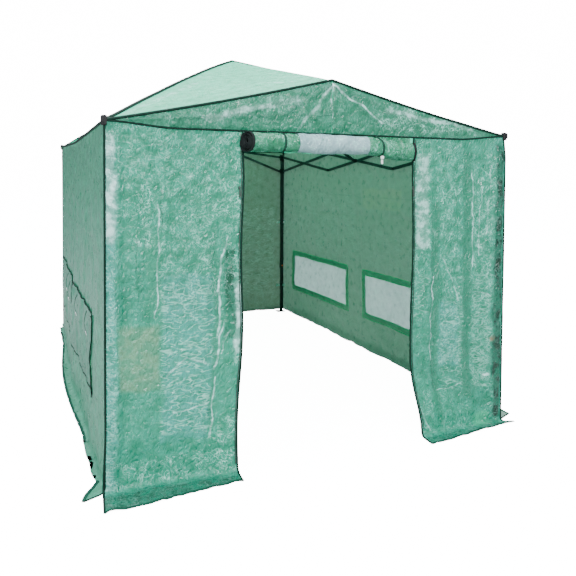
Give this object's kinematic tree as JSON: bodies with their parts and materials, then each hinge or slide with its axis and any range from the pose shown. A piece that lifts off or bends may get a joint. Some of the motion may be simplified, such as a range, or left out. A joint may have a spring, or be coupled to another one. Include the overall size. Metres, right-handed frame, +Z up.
{
  "type": "pop up greenhouse",
  "caption": "Walk-in pop-up greenhouse: folding canopy frame with telescoping legs and scissor trusses, green woven cover, rolled-up front door and screened side windows.",
  "frame": {"origin": "on the ground at the middle of the footprint", "axes": "+X to the right seen from the front, +Y to the rear, +Z up; the doorway is at -Y"},
  "size_m": [2.769, 3.94, 2.477],
  "materials": {
    "leg_steel": "satin black powder coat",
    "bar_steel": "satin black powder coat",
    "joint_plastic": "matte",
    "button_plastic": "semi-gloss",
    "woven_cover": "woven polyethylene sheet, translucent, with a light sheen",
    "screen_mesh": "open mesh",
    "webbing": "woven webbing",
    "zip_plastic": "matte"
  },
  "bodies": {
    "leg_fl": {"leg_upper_fl": "leg_steel", "connector_fl": "joint_plastic", "roof_cover": "woven_cover", "front_wall_left": "woven_cover", "side_wall_left": "woven_cover", "window_screen_left": "screen_mesh", "door_roll": "woven_cover", "roll_strap_left": "webbing", "roll_strap_right": "webbing"},
    "leg_fr": {"leg_upper_fr": "leg_steel", "connector_fr": "joint_plastic", "front_wall_right": "woven_cover", "side_wall_right": "woven_cover", "window_screen_right": "screen_mesh"},
    "leg_rl": {"leg_upper_rl": "leg_steel", "connector_rl": "joint_plastic", "rear_wall": "woven_cover"},
    "leg_rr": {"leg_upper_rr": "leg_steel", "connector_rr": "joint_plastic"},
    "side_left_a1": {"side_left_a1": "bar_steel"},
    "side_left_b1": {"side_left_b1": "bar_steel"},
    "side_left_a2": {"side_left_a2": "bar_steel"},
    "side_left_b2": {"side_left_b2": "bar_steel"},
    "side_left_a3": {"side_left_a3": "bar_steel"},
    "side_left_b3": {"side_left_b3": "bar_steel"},
    "rafter_bracket_left": {"rafter_bracket_left": "joint_plastic"},
    "rafter_lower_left": {"rafter_lower_left": "bar_steel"},
    "rafter_upper_left": {"rafter_upper_left": "bar_steel"},
    "peak_hub": {"peak_hub": "joint_plastic"},
    "gable_front_q_left": {"gable_front_q_left": "bar_steel"},
    "gable_front_q_right": {"gable_front_q_right": "bar_steel"},
    "gable_front_p_left": {"gable_front_p_left": "bar_steel"},
    "gable_front_p_right": {"gable_front_p_right": "bar_steel"},
    "side_right_a1": {"side_right_a1": "bar_steel"},
    "side_right_b1": {"side_right_b1": "bar_steel"},
    "side_right_a2": {"side_right_a2": "bar_steel"},
    "side_right_b2": {"side_right_b2": "bar_steel"},
    "side_right_a3": {"side_right_a3": "bar_steel"},
    "side_right_b3": {"side_right_b3": "bar_steel"},
    "rafter_bracket_right": {"rafter_bracket_right": "joint_plastic"},
    "rafter_lower_right": {"rafter_lower_right": "bar_steel"},
    "rafter_upper_right": {"rafter_upper_right": "bar_steel"},
    "gable_rear_q_left": {"gable_rear_q_left": "bar_steel"},
    "gable_rear_q_right": {"gable_rear_q_right": "bar_steel"},
    "gable_rear_p_left": {"gable_rear_p_left": "bar_steel"},
    "gable_rear_p_right": {"gable_rear_p_right": "bar_steel"},
    "slider_fl": {"slider_fl": "joint_plastic"},
    "slider_fr": {"slider_fr": "joint_plastic"},
    "slider_rl": {"slider_rl": "joint_plastic"},
    "slider_rr": {"slider_rr": "joint_plastic"},
    "leg_lower_fl": {"leg_lower_fl": "leg_steel"},
    "leg_lower_fr": {"leg_lower_fr": "leg_steel"},
    "leg_lower_rl": {"leg_lower_rl": "leg_steel"},
    "leg_lower_rr": {"leg_lower_rr": "leg_steel"},
    "button_fl": {"button_fl": "button_plastic"},
    "button_fr": {"button_fr": "button_plastic"},
    "button_rl": {"button_rl": "button_plastic"},
    "button_rr": {"button_rr": "button_plastic"},
    "zip_pull_left": {"zip_pull_left": "zip_plastic"},
    "zip_pull_right": {"zip_pull_right": "zip_plastic"}
  },
  "joints": [
    {"name": "frame_fold", "type": "hinge", "parent": "leg_fl", "child": "side_left_a1", "pos_m": [-1.1695, -1.72, 1.775], "axis": [-1, 0, 0], "range_deg": [0, 76.06], "deforming": ["roof_cover", "front_wall_left", "front_wall_right", "side_wall_left", "side_wall_right", "window_screen_left", "window_screen_right", "rear_wall", "door_roll", "roll_strap_left", "roll_strap_right", "zip_pull_left", "zip_pull_right"]},
    {"name": "side_left_b1_turn", "type": "hinge", "parent": "side_left_a1", "child": "side_left_b1", "pos_m": [-1.1695, -1.14667, 1.695], "axis": [-1, 0, 0], "range_deg": [-152.13, 0]},
    {"name": "side_left_b2_turn", "type": "hinge", "parent": "side_left_a1", "child": "side_left_b2", "pos_m": [-1.1695, -0.57333, 1.615], "axis": [-1, 0, 0], "range_deg": [-152.13, 0]},
    {"name": "side_left_a2_turn", "type": "hinge", "parent": "side_left_b2", "child": "side_left_a2", "pos_m": [-1.1695, 0, 1.695], "axis": [-1, 0, 0], "range_deg": [0, 152.13]},
    {"name": "side_left_b3_turn", "type": "hinge", "parent": "side_left_a2", "child": "side_left_b3", "pos_m": [-1.1695, 0.57333, 1.615], "axis": [-1, 0, 0], "range_deg": [-152.13, 0]},
    {"name": "side_left_a3_turn", "type": "hinge", "parent": "side_left_b3", "child": "side_left_a3", "pos_m": [-1.1695, 1.14667, 1.695], "axis": [-1, 0, 0], "range_deg": [0, 152.13]},
    {"name": "leg_rl_follow", "type": "hinge", "parent": "side_left_b3", "child": "leg_rl", "pos_m": [-1.1695, 1.72, 1.775], "axis": [-1, 0, 0], "range_deg": [0, 76.08]},
    {"name": "slider_fl_travel", "type": "hinge", "parent": "side_left_b1", "child": "slider_fl", "pos_m": [-1.1695, -1.72, 1.615], "axis": [-1, 0, 0], "range_deg": [0, 76.08]},
    {"name": "slider_rl_travel", "type": "hinge", "parent": "side_left_a3", "child": "slider_rl", "pos_m": [-1.1695, 1.72, 1.615], "axis": [-1, 0, 0], "range_deg": [-76.08, 0]},
    {"name": "rafter_bracket_left_turn", "type": "hinge", "parent": "side_left_a2", "child": "rafter_bracket_left", "pos_m": [-1.1695, 0, 1.695], "axis": [-1, 0, 0], "range_deg": [-76.08, 0]},
    {"name": "rafter_lower_left_turn", "type": "hinge", "parent": "rafter_bracket_left", "child": "rafter_lower_left", "pos_m": [-1.128, 0, 1.695], "axis": [0, -1, 0], "range_deg": [0, 53.86]},
    {"name": "rafter_upper_left_turn", "type": "hinge", "parent": "rafter_lower_left", "child": "rafter_upper_left", "pos_m": [-0.43808, 0, 2.1494], "axis": [0, -1, 0], "range_deg": [-174.44, 0]},
    {"name": "peak_hub_turn", "type": "hinge", "parent": "rafter_upper_left", "child": "peak_hub", "pos_m": [-0.05, 0, 2.405], "axis": [0, -1, 0], "range_deg": [0, 120.6]},
    {"name": "gable_front_q_left_turn", "type": "hinge", "parent": "leg_fl", "child": "gable_front_q_left", "pos_m": [-1.1345, -1.755, 1.775], "axis": [0, 1, 0], "range_deg": [0, 90.51]},
    {"name": "gable_front_q_right_turn", "type": "hinge", "parent": "gable_front_q_left", "child": "gable_front_q_right", "pos_m": [0, -1.755, 1.904], "axis": [0, -1, 0], "range_deg": [0, 180.99]},
    {"name": "leg_fr_follow", "type": "hinge", "parent": "gable_front_q_right", "child": "leg_fr", "pos_m": [1.1345, -1.755, 1.775], "axis": [0, 1, 0], "range_deg": [0, 90.51]},
    {"name": "gable_front_p_left_turn", "type": "hinge", "parent": "slider_fl", "child": "gable_front_p_left", "pos_m": [-1.1345, -1.755, 1.615], "axis": [0, -1, 0], "range_deg": [0, 63.62]},
    {"name": "gable_front_p_right_turn", "type": "hinge", "parent": "slider_fr", "child": "gable_front_p_right", "pos_m": [1.1345, -1.755, 1.615], "axis": [0, 1, 0], "range_deg": [0, 63.62]},
    {"name": "side_right_a1_turn", "type": "hinge", "parent": "leg_fr", "child": "side_right_a1", "pos_m": [1.1695, -1.72, 1.775], "axis": [-1, 0, 0], "range_deg": [0, 76.08]},
    {"name": "side_right_b1_turn", "type": "hinge", "parent": "side_right_a1", "child": "side_right_b1", "pos_m": [1.1695, -1.14667, 1.695], "axis": [-1, 0, 0], "range_deg": [-152.13, 0]},
    {"name": "side_right_b2_turn", "type": "hinge", "parent": "side_right_a1", "child": "side_right_b2", "pos_m": [1.1695, -0.57333, 1.615], "axis": [-1, 0, 0], "range_deg": [-152.13, 0]},
    {"name": "side_right_a2_turn", "type": "hinge", "parent": "side_right_b2", "child": "side_right_a2", "pos_m": [1.1695, 0, 1.695], "axis": [-1, 0, 0], "range_deg": [0, 152.13]},
    {"name": "side_right_b3_turn", "type": "hinge", "parent": "side_right_a2", "child": "side_right_b3", "pos_m": [1.1695, 0.57333, 1.615], "axis": [-1, 0, 0], "range_deg": [-152.13, 0]},
    {"name": "side_right_a3_turn", "type": "hinge", "parent": "side_right_b3", "child": "side_right_a3", "pos_m": [1.1695, 1.14667, 1.695], "axis": [-1, 0, 0], "range_deg": [0, 152.13]},
    {"name": "leg_rr_follow", "type": "hinge", "parent": "side_right_b3", "child": "leg_rr", "pos_m": [1.1695, 1.72, 1.775], "axis": [-1, 0, 0], "range_deg": [0, 76.08]},
    {"name": "slider_fr_travel", "type": "hinge", "parent": "side_right_b1", "child": "slider_fr", "pos_m": [1.1695, -1.72, 1.615], "axis": [-1, 0, 0], "range_deg": [0, 76.08]},
    {"name": "slider_rr_travel", "type": "hinge", "parent": "side_right_a3", "child": "slider_rr", "pos_m": [1.1695, 1.72, 1.615], "axis": [-1, 0, 0], "range_deg": [-76.08, 0]},
    {"name": "rafter_bracket_right_turn", "type": "hinge", "parent": "side_right_a2", "child": "rafter_bracket_right", "pos_m": [1.1695, 0, 1.695], "axis": [-1, 0, 0], "range_deg": [-76.08, 0]},
    {"name": "rafter_lower_right_turn", "type": "hinge", "parent": "rafter_bracket_right", "child": "rafter_lower_right", "pos_m": [1.128, 0, 1.695], "axis": [0, 1, 0], "range_deg": [0, 53.86]},
    {"name": "rafter_upper_right_turn", "type": "hinge", "parent": "rafter_lower_right", "child": "rafter_upper_right", "pos_m": [0.43808, 0, 2.1494], "axis": [0, 1, 0], "range_deg": [-174.44, 0]},
    {"name": "gable_rear_q_left_turn", "type": "hinge", "parent": "leg_rl", "child": "gable_rear_q_left", "pos_m": [-1.1345, 1.755, 1.775], "axis": [0, 1, 0], "range_deg": [0, 90.51]},
    {"name": "gable_rear_q_right_turn", "type": "hinge", "parent": "gable_rear_q_left", "child": "gable_rear_q_right", "pos_m": [0, 1.755, 1.904], "axis": [0, -1, 0], "range_deg": [0, 180.99]},
    {"name": "gable_rear_p_left_turn", "type": "hinge", "parent": "slider_rl", "child": "gable_rear_p_left", "pos_m": [-1.1345, 1.755, 1.615], "axis": [0, -1, 0], "range_deg": [0, 63.62]},
    {"name": "gable_rear_p_right_turn", "type": "hinge", "parent": "slider_rr", "child": "gable_rear_p_right", "pos_m": [1.1345, 1.755, 1.615], "axis": [0, 1, 0], "range_deg": [0, 63.62]},
    {"name": "leg_height_fl", "type": "slide", "parent": "leg_fl", "child": "leg_lower_fl", "axis": [0, 0, 1], "range_m": [0, 0.42]},
    {"name": "button_fl_press", "type": "slide", "parent": "leg_fl", "child": "button_fl", "axis": [0, -1, 0], "range_m": [0, 0.004], "stiffness_N_per_m": 400, "springref_m": -0.002},
    {"name": "leg_height_fr", "type": "slide", "parent": "leg_fr", "child": "leg_lower_fr", "axis": [0, 0, 1], "range_m": [0, 0.42]},
    {"name": "button_fr_press", "type": "slide", "parent": "leg_fr", "child": "button_fr", "axis": [0, -1, 0], "range_m": [0, 0.004], "stiffness_N_per_m": 400, "springref_m": -0.002},
    {"name": "leg_height_rl", "type": "slide", "parent": "leg_rl", "child": "leg_lower_rl", "axis": [0, 0, 1], "range_m": [0, 0.42]},
    {"name": "button_rl_press", "type": "slide", "parent": "leg_rl", "child": "button_rl", "axis": [0, 1, 0], "range_m": [0, 0.004], "stiffness_N_per_m": 400, "springref_m": -0.002},
    {"name": "leg_height_rr", "type": "slide", "parent": "leg_rr", "child": "leg_lower_rr", "axis": [0, 0, 1], "range_m": [0, 0.42]},
    {"name": "button_rr_press", "type": "slide", "parent": "leg_rr", "child": "button_rr", "axis": [0, 1, 0], "range_m": [0, 0.004], "stiffness_N_per_m": 400, "springref_m": -0.002},
    {"name": "zip_left_slide", "type": "slide", "parent": "leg_fl", "child": "zip_pull_left", "axis": [0, 0, -1], "range_m": [0, 1.38]},
    {"name": "zip_right_slide", "type": "slide", "parent": "leg_fr", "child": "zip_pull_right", "axis": [0, 0, -1], "range_m": [0, 1.38]}
  ],
  "couplings": [
    {"joint": "side_left_b1_turn", "follows": "frame_fold", "ratio": -2},
    {"joint": "side_left_b2_turn", "follows": "frame_fold", "ratio": -2},
    {"joint": "side_left_a2_turn", "follows": "frame_fold", "ratio": 2},
    {"joint": "side_left_b3_turn", "follows": "frame_fold", "ratio": -2},
    {"joint": "side_left_a3_turn", "follows": "frame_fold", "ratio": 2},
    {"joint": "leg_rl_follow", "follows": "frame_fold", "ratio": 1},
    {"joint": "slider_fl_travel", "follows": "frame_fold", "ratio": 1},
    {"joint": "slider_rl_travel", "follows": "frame_fold", "ratio": -1},
    {"joint": "rafter_bracket_left_turn", "follows": "frame_fold", "ratio": -1},
    {"joint": "rafter_lower_left_turn", "follows": "frame_fold", "ratio": 0.70788},
    {"joint": "rafter_upper_left_turn", "follows": "frame_fold", "ratio": -2.2933},
    {"joint": "peak_hub_turn", "follows": "frame_fold", "ratio": 1.5854},
    {"joint": "gable_front_q_left_turn", "follows": "frame_fold", "ratio": 1.1897},
    {"joint": "gable_front_q_right_turn", "follows": "frame_fold", "ratio": 2.3795},
    {"joint": "leg_fr_follow", "follows": "frame_fold", "ratio": 1.1897},
    {"joint": "gable_front_p_left_turn", "follows": "frame_fold", "ratio": 0.83618},
    {"joint": "gable_front_p_right_turn", "follows": "frame_fold", "ratio": 0.83618},
    {"joint": "side_right_a1_turn", "follows": "frame_fold", "ratio": 1},
    {"joint": "side_right_b1_turn", "follows": "frame_fold", "ratio": -2},
    {"joint": "side_right_b2_turn", "follows": "frame_fold", "ratio": -2},
    {"joint": "side_right_a2_turn", "follows": "frame_fold", "ratio": 2},
    {"joint": "side_right_b3_turn", "follows": "frame_fold", "ratio": -2},
    {"joint": "side_right_a3_turn", "follows": "frame_fold", "ratio": 2},
    {"joint": "leg_rr_follow", "follows": "frame_fold", "ratio": 1},
    {"joint": "slider_fr_travel", "follows": "frame_fold", "ratio": 1},
    {"joint": "slider_rr_travel", "follows": "frame_fold", "ratio": -1},
    {"joint": "rafter_bracket_right_turn", "follows": "frame_fold", "ratio": -1},
    {"joint": "rafter_lower_right_turn", "follows": "frame_fold", "ratio": 0.70788},
    {"joint": "rafter_upper_right_turn", "follows": "frame_fold", "ratio": -2.2933},
    {"joint": "gable_rear_q_left_turn", "follows": "frame_fold", "ratio": 1.1897},
    {"joint": "gable_rear_q_right_turn", "follows": "frame_fold", "ratio": 2.3795},
    {"joint": "gable_rear_p_left_turn", "follows": "frame_fold", "ratio": 0.83618},
    {"joint": "gable_rear_p_right_turn", "follows": "frame_fold", "ratio": 0.83618}
  ]
}
